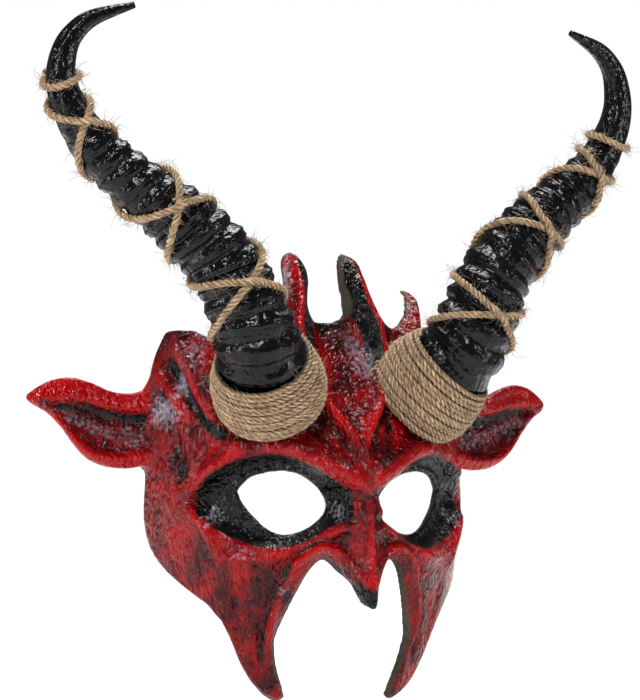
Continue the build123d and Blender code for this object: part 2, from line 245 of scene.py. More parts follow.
def painted_moulding():
    """Glossy red paint washed black in the folds, over a raw grey-brown moulding inside, with a painted
    highlight on the ridges and lilac-grey painted reflections in patches.
    """
    s = Shader("painted_moulding", Specular_IOR_Level=0.3)
    raw, painted_reflection = s.attribute("raw"), s.attribute("painted_reflection")
    blotch = s.noise(s.place(), 60, 6, 0.65)
    fine = s.noise(s.place(), 480, 3, 0.65)
    skin = s.noise(s.place((1, 1, 0.6)), 340, 1.5, 0.5, 0.8)
    creases = s.noise(s.place((1, 1, 0.5)), 150, 1.5, 0.5, 1.0)
    streak = s.noise(s.place((1, 1, 0.22), (0, 0.2, 0)), 820, 1.5, 0.5)
    red = s.ramp(blotch, (0.38, (0.03, 0.0, 0.0008)), (0.5, (0.17, 0.0002, 0.0015)),
                 (0.62, (0.36, 0.0004, 0.002)))
    # Painted highlight: a paler red laid along the ridges
    red = s.mix(s.times(s.attribute("bright"), 0.65), red, (0.5, 0.0004, 0.002))
    dry = s.ramp(streak, (0.4, (0.08, 0.015, 0.014)), (0.6, (0.34, 0.02, 0.02)))
    red = s.mix(s.times(s.attribute("worn"), 0.5), red, dry)
    edge = s.math("ADD", s.attribute("black"), s.spread(fine, 0.9))
    edge = s.math("ADD", edge, s.spread(blotch, 1.1))
    dark = s.ramp(fine, (0.35, 0.0006), (0.75, (0.005, 0.005, 0.0045)))
    colour = s.mix(s.ramp(edge, (0.42, 0), (0.68, 1)), red, dark)
    # Painted reflection: a lilac-grey sheen with grainy edges laid over the gloss in its patches
    reflection_grain = s.math("ADD", s.times(painted_reflection, 0.85), s.spread(fine, 1.9))
    reflection = s.times(s.ramp(reflection_grain, (0.34, 0), (0.85, 1)), s.ramp(painted_reflection, (0.12, 0), (0.3, 1)))
    colour = s.mix(s.times(reflection, 0.85), colour, (0.34, 0.30, 0.36))
    backing = s.ramp(blotch, (0.3, (0.035, 0.028, 0.02)), (0.7, (0.095, 0.08, 0.06)))
    colour = s.mix(raw, colour, backing)
    gloss = s.mix(raw, s.ramp(blotch, (0.3, 0.07), (0.75, 0.18)), (0.7, 0.7, 0.7))
    normal = s.bump(creases, 0.003, 0.45)
    normal = s.bump(skin, 0.0026, 0.9, normal)
    return s.finish(colour, gloss, s.bump(streak, 0.0006, 0.5, normal))


def horn_lacquer():
    """Gloss black lacquer over a lumpy cast horn."""
    s = Shader("horn_lacquer", Specular_IOR_Level=0.3)
    grain = s.noise(s.place(), 620, 2, 0.6)
    cloud = s.noise(s.place(), 90, 5, 0.6)
    colour = s.ramp(cloud, (0.3, (0.001, 0.001, 0.0013)), (0.75, (0.005, 0.005, 0.007)))
    gloss = s.ramp(cloud, (0.3, 0.09), (0.75, 0.2))
    lumps = s.bump(s.noise(s.place((1, 1, 0.6)), 240, 1.5, 0.5, 0.7), 0.0018, 0.7)
    return s.finish(colour, gloss, s.bump(grain, 0.0006, 0.5, lumps))


def jute():
    """Raw jute: long fibres along each ply, pale on top with painted shade darkening them brown to
    near-black down between the plies.
    """
    s = Shader("jute_yarn", Roughness=0.85, Sheen_Weight=0.15)
    fibres = s.noise(s.attribute("strand", "Vector"), 1.0, 4, 0.7)
    blotch = s.noise(s.place(), 160, 3, 0.6)
    colour = s.ramp(fibres, (0.38, (0.06, 0.028, 0.013)), (0.48, (0.38, 0.22, 0.11)),
                    (0.6, (0.95, 0.72, 0.45)))
    colour = s.mix(s.times(blotch, 0.25), colour, (0.52, 0.3, 0.14))
    # Painted shade: a near-black brown down in the gaps between plies and on the side towards the hub
    colour = s.mix(s.attribute("lit_share"), (0.03, 0.013, 0.006), colour)
    return s.finish(colour, None, s.bump(fibres, 0.0004, 0.8))


def loose_fibre():
    """Single jute fibres, paler and greyer than the yarn."""
    s = Shader("loose_fibre", Roughness=0.6)
    shade = s.noise(s.place(), 300, 2, 0.5)
    return s.finish(s.ramp(shade, (0.35, (0.17, 0.125, 0.08)), (0.65, (0.46, 0.38, 0.28))))


def foam():
    """Open-cell foam: fine pores in a soft dark sheet."""
    s = Shader("pad_foam", Roughness=0.95, Sheen_Weight=0.2)
    pores = s.noise(s.place(), 1500, 3, 0.6)
    soil = s.noise(s.place(), 120, 4, 0.6)
    colour = s.ramp(pores, (0.38, (0.006, 0.006, 0.007)), (0.55, (0.045, 0.045, 0.05)))
    colour = s.mix(s.times(soil, 0.3), colour, (0.07, 0.068, 0.066))
    return s.finish(colour, None, s.bump(pores, 0.0006, 0.8))


def elastic():
    """Woven elastic: ribs along the strap and fine picks across it, at pitches in mm."""
    s = Shader("woven_elastic", Roughness=0.8, Sheen_Weight=0.15)
    split = s.add("ShaderNodeSeparateXYZ", Vector=s.attribute("strand", "Vector"))
    picks = s.math("SINE", s.times(split.outputs[0], 2 * math.pi / 0.8))
    ribs = s.math("SINE", s.times(split.outputs[1], 2 * math.pi / 1.25))
    level = s.math("ADD", s.times(s.times(picks, ribs), 0.35), 0.5)
    lint = s.noise(s.place(), 700, 3, 0.6)
    colour = s.ramp(level, (0.2, (0.004, 0.004, 0.005)), (0.8, (0.03, 0.03, 0.032)))
    colour = s.mix(s.times(lint, 0.25), colour, (0.06, 0.06, 0.06))
    return s.finish(colour, None, s.bump(level, 0.0003, 0.8))


def moulded_plastic():
    s = Shader("slider_plastic")
    grain = s.noise(s.place(), 1100, 4, 0.6)
    colour = s.ramp(grain, (0.3, (0.008, 0.008, 0.009)), (0.7, (0.02, 0.02, 0.022)))
    return s.finish(colour, s.ramp(grain, (0.3, 0.28), (0.7, 0.45)), s.bump(grain, 0.0002, 0.5))


def plated_steel():
    s = Shader("plated_steel", Metallic=1.0)
    swirl = s.noise(s.place((1, 6, 6)), 500, 4, 0.6)
    tarnish = s.noise(s.place(), 260, 4, 0.6)
    colour = s.ramp(tarnish, (0.3, (0.34, 0.32, 0.28)), (0.7, (0.6, 0.58, 0.54)))
    return s.finish(colour, s.ramp(swirl, (0.3, 0.22), (0.7, 0.42)), s.bump(swirl, 0.0002, 0.4))


def turned_wood():
    s = Shader("turned_wood", Roughness=0.6)
    rings = s.noise(s.place((1, 1, 0.12), (0.6, 0.5, 0)), 700, 4, 0.6, 0.4)
    colour = s.ramp(rings, (0.3, (0.16, 0.085, 0.035)), (0.7, (0.42, 0.27, 0.13)))
    return s.finish(colour, None, s.bump(rings, 0.0004, 0.5))


# Mesh helpers -----------------------------------------------------------------------------------

def mesh_object(name, points, faces, material):
    """A smooth piece, from points in the scene's own millimetres."""
    mesh = bpy.data.meshes.new(name)
    faces = [tuple(int(i) for i in face) for face in faces]
    mesh.from_pydata(to_frame(points).tolist(), [], faces)
    mesh.polygons.foreach_set("use_smooth", [True] * len(mesh.polygons))
    mesh.materials.append(material)
    mesh.update()
    piece = bpy.data.objects.new(name, mesh)
    bpy.context.scene.collection.objects.link(piece)
    return piece


def tube_faces(rings, sides, offset=0):
    """Quads of a tube of that many rings, with one many-sided face closing each end."""
    faces = []
    for ring in range(rings - 1):
        for side in range(sides):
            a = offset + ring * sides + side
            b = offset + ring * sides + (side + 1) % sides
            faces.append((a, b, b + sides, a + sides))
    faces.append(tuple(offset + side for side in reversed(range(sides))))
    faces.append(tuple(offset + (rings - 1) * sides + side for side in range(sides)))
    return faces


def add_vertex_values(piece, name, values):
    layer = piece.data.attributes.new(name, "FLOAT", "POINT")
    layer.data.foreach_set("value", np.asarray(values, np.float32))


def add_vertex_vectors(piece, name, values):
    layer = piece.data.attributes.new(name, "FLOAT_VECTOR", "POINT")
    layer.data.foreach_set("vector", np.asarray(values, np.float32).ravel())


def catmull(points, steps):
    """A smooth curve through the points."""
    p = np.asarray(points, float)
    p = np.vstack([2 * p[0] - p[1], p, 2 * p[-1] - p[-2]])
    out = []
    for a, b, c, d in zip(p, p[1:], p[2:], p[3:]):
        for t in np.arange(steps) / steps:
            out.append(0.5 * (2 * b + (c - a) * t + (2 * a - 5 * b + 4 * c - d) * t * t
                              + (3 * b - a - 3 * c + d) * t ** 3))
    out.append(p[-2])
    return np.array(out)


def run_along(points):
    """How far along the line each of its points lies."""
    return np.concatenate([[0], np.cumsum(np.linalg.norm(np.diff(points, axis=0), axis=1))])


def unit(rows):
    return rows / np.linalg.norm(rows, axis=1)[:, None]


def hump(value, middle, spread, power=2):
    """1 at the middle, falling smoothly to 0 on both sides."""
    return np.exp(-((value - middle) / spread) ** power)


def smooth_step(value, low, high):
    t = np.clip((value - low) / (high - low), 0, 1)
    return t * t * (3 - 2 * t)


def smooth_max(a, b, size):
    h = np.clip(0.5 + 0.5 * (a - b) / size, 0, 1)
    return b + (a - b) * h + size * h * (1 - h)


def smooth_min(a, b, size):
    return -smooth_max(-a, -b, size)


# The moulded face -------------------------------------------------------------------------------

VOXEL = 1.15
PLAIN_RADIUS = 87.0
FACE_HALF_WIDTH = 86.0
CROWN_START = 40
CROWN_TAPER = 0.0075
Z_LOW, Z_HIGH = -112.0, 122.0
Y_LOW, Y_HIGH = -22.0, 98.0
X_HIGH = 152.0
REAR_CUT = 93
MAP_STEP = 0.5
MAP_WIDTH = 170.0

PROFILE_Z = (-116, -104, -90, -76, -56, -36, -18, -6, 4, 15, 26, 34, 41, 51, 62, 70, 80, 90, 100,
             108, 128)
PROFILE_Y = (28, 24.5, 21.5, 17, 11.5, 6.5, 3, 2.5, 4.5, 9.5, 14, 17, 20.5, 23.7, 28, 32, 36.8, 43,
             49, 54, 66)
DEPTH_Z = (20, 74, 130)
DEPTH = (88, 60, 50)


def softened(z, reach, heights, values):
    """Values at heights z, averaged over that reach up and down."""
    wide = np.linspace(-reach, reach, 9)
    return np.mean([np.interp(z + w, heights, values) for w in wide], axis=0)


def profile(z):
    return softened(z, 7, PROFILE_Z, PROFILE_Y)


def half_width(z):
    return FACE_HALF_WIDTH - CROWN_TAPER * np.maximum(0, z - CROWN_START) ** 2


def depth(z):
    return softened(z, 10, DEPTH_Z, DEPTH)


def across(x, z):
    """Distance round the face from the middle, for a point given by x and z."""
    z = np.asarray(z, float)
    share = np.clip(np.asarray(x, float) / half_width(z), -1, 1)
    return PLAIN_RADIUS * np.arcsin(share)


def across_at_depth(y, z):
    """Distance round the face from the middle, for a point given by y and z."""
    z = np.asarray(z, float)
    share = np.clip(1 - (y - profile(z)) / depth(z), -1, 1)
    return PLAIN_RADIUS * np.arccos(share)


def face_line(points):
    """A front-view line of (x, z) points as (u, z) on the unrolled face."""
    points = np.asarray(points, float)
    return np.column_stack([across(points[:, 0], points[:, 1]), points[:, 1]])


def side_line(points):
    """A side-view line of (y, z) points as (u, z) on the unrolled face."""
    points = np.asarray(points, float)
    return np.column_stack([across_at_depth(points[:, 0], points[:, 1]), points[:, 1]])


def segment_distance(u, z, line):
    """Distance from each map point to a line, and the share along the line of the nearest point."""
    best = np.full(u.shape, 1e9)
    along = np.zeros(u.shape)
    count = len(line) - 1
    for i in range(count):
        a, b = line[i], line[i + 1]
        d = b - a
        t = np.clip(((u - a[0]) * d[0] + (z - a[1]) * d[1]) / (d @ d + 1e-12), 0, 1)
        distance = np.hypot(u - a[0] - t * d[0], z - a[1] - t * d[1])
        nearer = distance < best
        best = np.where(nearer, distance, best)
        along = np.where(nearer, (i + t) / count, along)
    return best, along


def near(u, z, points):
    """Distance to a smooth line through front-view points, and the share along it."""
    return segment_distance(u, z, catmull(face_line(points), 4))


def signed_distance(u, z, ring):
    """Distance to a closed line, negative inside it."""
    closed = np.vstack([ring, ring[:1]])
    distance, _ = segment_distance(u, z, closed)
    inside = np.zeros(u.shape, bool)
    for a, b in zip(closed, closed[1:]):
        crosses = (a[1] > z) != (b[1] > z)
        slope = (b[0] - a[0]) / (b[1] - a[1] if b[1] != a[1] else 1e-9)
        inside ^= crosses & (u < a[0] + (z - a[1]) * slope)
    return np.where(inside, -distance, distance)


CREST = ((0, 79), (7.5, 79.3), (12.4, 82.5), (13.4, 88.5), (11.8, 94.5), (10.2, 100), (10.4, 106),
         (13, 111.3), (17, 112.8), (21.2, 109.5), (22.8, 102), (24, 93), (26, 84), (31, 77.5),
         (38, 78.5), (43.5, 85), (46.8, 91.5), (49.3, 96), (51.6, 95.5), (50.8, 88), (48.5, 79),
         (51, 70), (57, 65.5), (62, 70), (67, 74))
TEMPLE = ((79, 73), (79.5, 60), (79.5, 40), (79.5, 8), (79, -14), (76.5, -27), (71.5, -36), (63, -44),
          (53, -51.5), (43.5, -59))
CHEEK_OUTER = ((59.5, -67), (55, -76), (50.5, -86), (44.5, -96), (38, -102.5), (32, -105.5))
CHEEK_INNER = ((29.3, -103.5), (31.5, -97.5), (34, -91), (36, -84), (37.3, -75), (35.5, -67),
               (32.5, -58), (29.5, -50), (26, -42), (22, -36.5), (18.5, -35), (14, -37.5),
               (9.8, -42), (6.6, -47), (4.6, -52), (2.9, -56.4), (0, -58.8))
EYE = ((54.8, -3.5), (50.5, 2.5), (44, 5.5), (37, 6.5), (30, 5.5), (23.5, 2.5), (17.5, -2.5),
       (14, -9), (15.5, -15), (21, -20), (28, -23), (35, -24), (42, -21.5), (48, -15.5), (52.5, -9.5))
SOCKET = ((77, -9), (73, -2.5), (67, 6), (58, 12.5), (48, 15.5), (38, 16), (28, 12.5), (17, 5.5),
          (9, 0), (7, -5), (8, -12), (11, -18), (17, -22), (24, -26), (31, -29.5), (38, -31.5),
          (46, -31.5), (54, -30), (62, -26), (71, -18))
EYE_CENTRE = (41.0, -8.0)


def outline():
    """The face's whole outline on the unrolled face."""
    lines = face_line(CREST), side_line(TEMPLE), face_line(CHEEK_OUTER), face_line(CHEEK_INNER)
    half = np.vstack([catmull(line, 4) for line in lines])
    return np.vstack([half, half[::-1] * (-1, 1)])


# Ridges and furrows: points (x, z), width in mm, height in mm (a furrow is negative)
STROKES = (
    (((0, 2), (9, 7), (18, 12), (28, 16.5), (38, 19), (48, 19.5)), 6.5, 5.0),
    (((0, 2), (7, 5), (15, 8.5), (24, 13)), 3.2, 1.5),
    (((52, 21), (58, 15), (64, 7), (67.5, 1)), 5.5, 4.5),
    (((0.5, 12), (1.5, 18), (4.8, 26.4), (10.2, 34), (14.9, 41), (18.2, 51), (20.8, 62), (21.4, 70),
      (20.3, 80), (17.4, 90), (15.3, 100), (15, 110)), 3.4, 5.5),
    (((20, 44), (16.5, 36), (12, 28), (7, 19)), 2.4, -2.0),
    (((23, 50), (20, 38), (19, 28), (16, 18)), 3.0, -2.2),
    (((26, 75), (25, 62), (25, 50)), 4.0, -3.0),
    (((51, 96), (47.5, 86), (41, 70), (35, 56)), 5.0, 4.5),
    (((77, 58), (74, 48), (71, 39), (67, 29)), 3.4, -4.0),
    (((81, 54), (79, 47), (76.5, 40), (74, 33)), 3.2, 2.5),
    (((73, 70), (71.5, 58), (69, 46), (65.5, 34), (60, 23)), 4.5, 3.5),
    (((73, -13), (70.5, -18), (66.5, -27), (62, -36), (58, -44)), 3.4, 3.0),
    (((57, -34), (50, -36), (42, -35), (36, -32)), 3.2, 2.2),
    (((38.5, -76), (39.5, -66), (38, -55), (35.5, -45), (31, -37), (25, -31.5), (19, -29.5),
      (13, -32), (8, -38), (4.5, -45)), 2.5, 4.2),
    (((35, -40), (38, -50), (41, -60), (42.5, -68), (43, -76), (41, -86)), 2.4, -2.6),
    (((60, -38), (57.5, -49), (54.5, -62), (50, -76)), 2.4, -1.5),
    (((49, -54), (48.6, -63), (48, -72)), 1.6, -1.2),
    (((17, -13.5), (11.5, -11), (6, -13)), 2.0, 2.2),
    (((17.5, -24), (11, -19.5), (4, -22)), 2.2, 2.4),
    (((16, -18.5), (10, -15.5), (5, -17)), 1.3, -1.2),
    (((76, 18), (76, 8), (77.5, 0)), 4.0, -2.2),
    (((0, -5), (5, -4.2), (10, -2.2), (15, 0.5)), 2.0, -2.2),
    (((37, -46), (36, -40), (31, -32.5), (24, -27.5), (18, -26), (11, -28)), 1.6, -2.0),
)
# The scoop between the crest's two ridges: depth and half width at each height
SCOOP_Z = (22, 32, 42, 54, 66, 76, 86, 96, 106, 116)
SCOOP_DEPTH = (0, 1.5, 5, 9, 13, 15.5, 11.5, 5, 1, 0)
SCOOP_WIDTH = (3, 5, 8.5, 12, 14, 15, 15, 14, 14, 14)
# The dark valley inside each crest ridge, from the brow up to the prong's tip
VALLEY = ((8, 40), (12.5, 52), (15.8, 62), (16.8, 71), (15.8, 80), (13.2, 90), (11.6, 100),
          (11.8, 109))
# The dark furrow down the temple beside the horn
FURROW = ((77, 57), (74, 48), (71, 39), (67, 30), (61, 24))
# How far the nose stands out at each height, and its half width there
NOSE_Z = (-62, -57, -50, -42, -32, -22, -12, -4, 4)
NOSE_STAND = (23, 22, 19.5, 15.5, 11.5, 8.5, 6, 3.5, 0)
NOSE_WIDTH = (7.4, 7.8, 8.4, 8.4, 7.6, 6.6, 6.2, 7, 9)


def socket_depth(u, z):
    """The socket is deepest beside the nose and shallowest under the brow."""
    angle = np.arctan2(z - EYE_CENTRE[1], u - EYE_CENTRE[0])
    return 9.0 - 2.8 * np.cos(angle) - 2.1 * np.sin(angle) + 1.8 * np.cos(2 * angle)


def eye_line():
    """The eye hole on the unrolled face, allowing for the drift of sunken points inwards."""
    points = np.array(EYE + EYE[:1], float)
    line = face_line(points)
    for _ in range(3):
        drift = 1 - socket_depth(line[:, 0], line[:, 1]) / half_width(line[:, 1])
        line = face_line(np.column_stack([points[:, 0] / drift, points[:, 1]]))
    return line


def relief_map(u, z, eye, socket):
    """How far the surface stands out from the plain oval, on the unrolled face."""
    height = np.zeros(u.shape)
    height -= (socket_depth(u, z) + 0.8) * smooth_step(-socket, -0.5, 7.0)
    height += 1.3 * hump(eye, 1.5, 1.4)
    width = np.interp(z, SCOOP_Z, SCOOP_WIDTH)
    height -= np.interp(z, SCOOP_Z, SCOOP_DEPTH) * hump(u, 0, width, 4)
    for points, width, lift in STROKES:
        distance, along = near(u, z, points)
        ends = smooth_step(along, -0.05, 0.16) * smooth_step(1 - along, -0.05, 0.16)
        height += lift * (0.35 + 0.65 * ends) * hump(distance, 0, width)
    stand = np.interp(z, NOSE_Z, NOSE_STAND)
    width = np.interp(z, NOSE_Z, NOSE_WIDTH)
    height += stand * np.exp(-(np.abs(u) / width) ** 1.5)
    return height


def black_map(u, z, socket):
    """Where the black wash lies, from 0 to 1."""
    black = smooth_step(-socket, -1.0, 3.5) * smooth_step(-u, -96, -84)
    for points, width, lift in STROKES:
        if lift > -1.1:
            continue
        distance, _ = near(u, z, points)
        share = np.interp(-lift, (1.1, 2.6), (0.4, 0.66))
        black = np.maximum(black, share * hump(distance, 0, width * 1.3))
    tip = smooth_step(-z + 0.9 * u, 43, 56) * smooth_step(-u, -9, -5)
    nose_side = np.interp(z, (-44, -34, -18, -14, -3, 2), (0, 0.5, 0.6, 0.95, 0.95, 0))
    nose_side = nose_side * (0.45 * smooth_step(u, 3, 5) + 0.55 * smooth_step(u, 6, 9))
    nose_side = nose_side * smooth_step(-u, -16, -11)
    scoop = np.interp(z, (34, 56, 68, 80), (0, 0.3, 0.5, 0.75))
    scoop = scoop * hump(u, 0, np.interp(z, (34, 60, 80, 100), (5, 13, 17, 16)), 4)
    valley, along = near(u, z, VALLEY)
    flank = smooth_step(along, 0, 0.35) * hump(valley, 0, 2.2 + 3.0 * along, 4)
    temple = 0.7 * hump(z, 9, 13) * hump(u, 96, 11)
    furrow, _ = near(u, z, FURROW)
    furrow = 0.95 * hump(furrow, 0, 4.5)
    return np.clip(np.max([black, tip, nose_side, scoop, flank, temple, furrow], axis=0), 0, 1)


# Patches of painted reflection, a lilac-grey sheen standing for lamp glare on the gloss: side,
# (distance round, height), spread, share
REFLECTION_PATCHES = ((0, (101, 34), (12, 9), 0.9), (0, (92, 48), (4, 12), 0.9), (0, (84, 64), (9, 12), 0.6),
         (0, (80, -16), (5, 9), 0.6), (-1, (34, 100), (5, 12), 0.9), (0, (13, -12), (4, 8), 0.5),
         (0, (60, -34), (10, 5), 0.45),
         (-1, (30, 8), (16, 4), 0.4), (-1, (36, -50), (7, 9), 0.4), (1, (12, 62), (5, 17), 0.75),
         (-1, (22, 34), (3, 9), 0.6), (1, (52, -36), (9, 6), 0.6))


# How strongly the painted reflection patches cover each point, on that side
def painted_reflection_at(u, z, side):
    reflection = np.zeros(u.shape)
    for sign, centre, spread, share in REFLECTION_PATCHES:
        spot = share * np.exp(-((u - centre[0]) / spread[0]) ** 2 - ((z - centre[1]) / spread[1]) ** 2)
        reflection = np.maximum(reflection, np.where(sign * side >= 0, spot, 0.0))
    return reflection


def blurred(table, spread):
    """The map softened over that many millimetres each way."""
    for axis, step in ((0, MAP_STEP), (1, VOXEL)):
        reach = int(3 * spread / step) + 1
        kernel = np.exp(-0.5 * (np.arange(-reach, reach + 1) * step / spread) ** 2)
        kernel /= kernel.sum()
        mode = "reflect" if axis == 0 else "edge"
        pad = [(reach, reach) if a == axis else (0, 0) for a in (0, 1)]
        wide = np.pad(table, pad, mode=mode)
        table = np.apply_along_axis(lambda row: np.convolve(row, kernel, "valid"), axis, wide)
    return table


class FaceMaps:
    """The unrolled face: relief, outline, eye holes and paint, by distance round and height."""

    def __init__(self):
        self.z = np.arange(Z_LOW, Z_HIGH + 0.1, VOXEL)
        self.u = np.arange(0, MAP_WIDTH, MAP_STEP)
        u, z = np.meshgrid(self.u, self.z, indexing="ij")
        eye = signed_distance(u, z, catmull(eye_line(), 4))
        socket = signed_distance(u, z, catmull(face_line(SOCKET + SOCKET[:1]), 4))
        self.edge, self.eye = signed_distance(u, z, outline()), eye
        relief = blurred(relief_map(u, z, eye, socket), 0.8)
        crest = smooth_step(z, 66, 80)
        self.relief = relief + crest * (blurred(relief, 1.3) - relief)
        # Ridges that stand above their blurred surround get a painted highlight; hollows get a share of
        # the black wash
        cavity = blurred(self.relief, 3.5) - self.relief
        self.bright = smooth_step(-cavity, 0.45, 1.9)
        self.black = np.maximum(black_map(u, z, socket), 0.62 * smooth_step(cavity, 0.3, 1.6))
        low = smooth_step(-z, 20, 34) * smooth_step(self.edge, -14, -4)
        crest = smooth_step(z, 74, 90) * smooth_step(-u, -54, -44)
        self.thickness = 3.4 + 1.9 * crest + 1.8 * low
        self.tip = smooth_step(-z, 38, 48) * smooth_step(-u, -14, -8)
        self.thickness -= 1.6 * self.tip
        self.slant = 0.5 * smooth_step(-z, 22, 32) * smooth_step(-u, -48, -38) * (1 - self.tip)
        self.slant += 0.45 * crest

    def read(self, table, u, level):
        """The map's value at distances u and height levels given as whole numbers."""
        place = np.clip(np.abs(u) / MAP_STEP, 0, len(self.u) - 1.001)
        low = place.astype(int)
        share = (place - low).astype(np.float32)
        return table[low, level] * (1 - share) + table[low + 1, level] * share

    def read_at(self, table, u, z):
        row = np.clip((z - Z_LOW) / VOXEL, 0, len(self.z) - 1.001)
        low = row.astype(int)
        share = row - low
        return self.read(table, u, low) * (1 - share) + self.read(table, u, low + 1) * share


def unroll(x, y, z):
    """Distance inside the plain oval and distance round it, for points of the row."""
    width, deep, front = half_width(z), depth(z), profile(z)
    side = x / width
    back = (front + deep - y) / deep
    rho = np.sqrt(side ** 2 + back ** 2)
    return rho, PLAIN_RADIUS * np.arctan2(side, back)


EAR_ROOT = np.array([79.0, 74.0, 26.0])
EAR_TURN = 9.0
EAR_SPAN = ((-14, 74), (-30, 34))
EAR_STEP = 0.5
EAR_OUTLINE = ((-8, 30), (3, 21), (13, 16.5), (24, 17), (34, 21), (44, 23.5), (54, 22), (62, 17.5),
               (66, 13.5), (63, 10), (56, 6), (49, -1), (43, -9), (36, -16), (26, -20), (14, -20.5),
               (4, -18), (-8, -19))
EAR_CUP = ((2, 8), (14, 7), (28, 9), (42, 12), (54, 12), (60, 11.5), (52, 6), (44, -3), (37, -10),
           (26, -14), (12, -13), (2, -9))


def ear_axes():
    """The ear's own directions, outwards and forwards."""
    turn = math.radians(EAR_TURN)
    out = np.array([math.cos(turn), math.sin(turn), 0])
    front = np.array([math.sin(turn), -math.cos(turn), 0])
    return out, front


def ear_field(x, y, z):
    """Signed distance of the cupped ear, of its cup's rim, and how far in front of its middle."""
    out, front = ear_axes()
    dx, dy, dz = x - EAR_ROOT[0], y - EAR_ROOT[1], z - EAR_ROOT[2]
    e = dx * out[0] + dy * out[1]
    n = dx * front[0] + dy * front[1]
    grid_e, grid_z = (np.arange(*span, EAR_STEP) for span in EAR_SPAN)
    ge, gz = np.meshgrid(grid_e, grid_z, indexing="ij")
    ring = catmull(EAR_OUTLINE + EAR_OUTLINE[:1], 4)
    cup = catmull(EAR_CUP + EAR_CUP[:1], 4)
    edge_map = signed_distance(ge, gz, ring)
    cup_map = signed_distance(ge, gz, cup)
    fold, _ = segment_distance(ge, gz, catmull(((6, -1), (20, -2), (34, 2), (46, 8)), 4))
    mid_map = 3.0 * smooth_step(-cup_map, -3, 8) - 2.4 * hump(fold, 0, 3.0)
    mid_map = mid_map * smooth_step(-cup_map, -4, 2)
    mid_map -= 2.2 * hump(cup_map, 1.5, 2.4)
    mid_map += 0.0016 * np.maximum(ge - 10, 0) ** 2

    def look(table):
        pe = np.clip((e - EAR_SPAN[0][0]) / EAR_STEP, 0, len(grid_e) - 1.001)
        pz = np.clip((dz - EAR_SPAN[1][0]) / EAR_STEP, 0, len(grid_z) - 1.001)
        ie, iz = pe.astype(int), pz.astype(int)
        fe, fz = pe - ie, pz - iz
        low = table[ie, iz] * (1 - fe) + table[ie + 1, iz] * fe
        high = table[ie, iz + 1] * (1 - fe) + table[ie + 1, iz + 1] * fe
        return low * (1 - fz) + high * fz

    edge, cup_depth, mid = look(edge_map), look(cup_map), look(mid_map)
    thick = 2.4 + 1.2 * smooth_step(-e, -20, 0)
    sheet = np.abs(n + mid) - thick
    return smooth_max(sheet * 0.9, edge, 2.0), cup_depth, n + mid


class FaceField:
    """The moulding as a field on a grid: negative inside the material."""

    def __init__(self, maps):
        self.x = np.arange(0, X_HIGH + 0.1, VOXEL)
        self.y = np.arange(Y_LOW, Y_HIGH + 0.1, VOXEL)
        self.z = maps.z
        x, y, z = np.meshgrid(self.x, self.y, self.z, indexing="ij")
        rho, u = unroll(x, y, z)
        slopes = np.gradient(rho, VOXEL)
        steep = np.sqrt(sum(s * s for s in slopes)) + 1e-9
        inside = (1 - rho) / steep
        level = np.broadcast_to(np.arange(len(self.z)), u.shape)
        inside += maps.read(maps.relief, u, level)
        slopes = np.gradient(inside, VOXEL)
        steep = np.clip(np.sqrt(sum(s * s for s in slopes)), 0.9, 3.5)
        for axis in range(3):
            steep = (np.roll(steep, 1, axis) + 2 * steep + np.roll(steep, -1, axis)) / 4
        self.inside = inside / steep
        thick = maps.read(maps.thickness, u, level)
        wall = np.abs(self.inside - thick / 2) - thick / 2
        lean = maps.read(maps.slant, u, level) * (np.clip(self.inside, 0, 6) - 2)
        wall = smooth_max(wall, maps.read(maps.edge, u, level) - lean, 2.0)
        wall = smooth_max(wall, -maps.read(maps.eye, u, level), 2.2)
        wall = np.where(y > REAR_CUT, np.maximum(wall, 1.0), wall)
        ear, _, _ = ear_field(x, y, z)
        ear = smooth_max(ear, self.inside - thick + 0.6, 2.0)
        self.solid = smooth_min(wall, ear, 6.0)

    def sample(self, table, points):
        """Values of a grid table at points, mirrored to the +X side."""
        p = np.abs(points[:, 0]), points[:, 1] - Y_LOW, points[:, 2] - Z_LOW
        low, share = [], []
        for value, size in zip(p, table.shape):
            value = np.clip(value / VOXEL, 0, size - 1.001)
            low.append(value.astype(int))
            share.append(value - low[-1])
        total = 0
        for corner in range(8):
            bits = [(corner >> axis) & 1 for axis in range(3)]
            weight = 1
            for bit, f in zip(bits, share):
                weight = weight * (f if bit else 1 - f)
            total = total + weight * table[low[0] + bits[0], low[1] + bits[1], low[2] + bits[2]]
        return total


def face_mesh(field):
    """Points and quads of the whole moulding, both halves."""
    full = np.concatenate([field.solid[:0:-1], field.solid], axis=0).astype(np.float32)
    grid = openvdb.FloatGrid(background=3.0)
    grid.copyFromArray(np.clip(full, -3, 3))
    points, quads = grid.convertToQuads(isovalue=0.0)
    origin = np.array([-X_HIGH, Y_LOW, Z_LOW])
    return points * VOXEL + origin, quads[:, ::-1]


def relax(points, quads, rounds):
    """Evens out the grid's small steps without shrinking the form."""
    edges = np.vstack([quads[:, [i, (i + 1) % 4]] for i in range(4)])
    edges = np.vstack([edges, edges[:, ::-1]])
    count = np.bincount(edges[:, 0], minlength=len(points))[:, None]
    for _ in range(rounds):
        for share in (0.5, -0.52):
            mean = np.zeros_like(points)
            for axis in range(3):
                mean[:, axis] = np.bincount(edges[:, 0], points[edges[:, 1], axis], len(points))
            points = points + share * (mean / count - points)
    return points


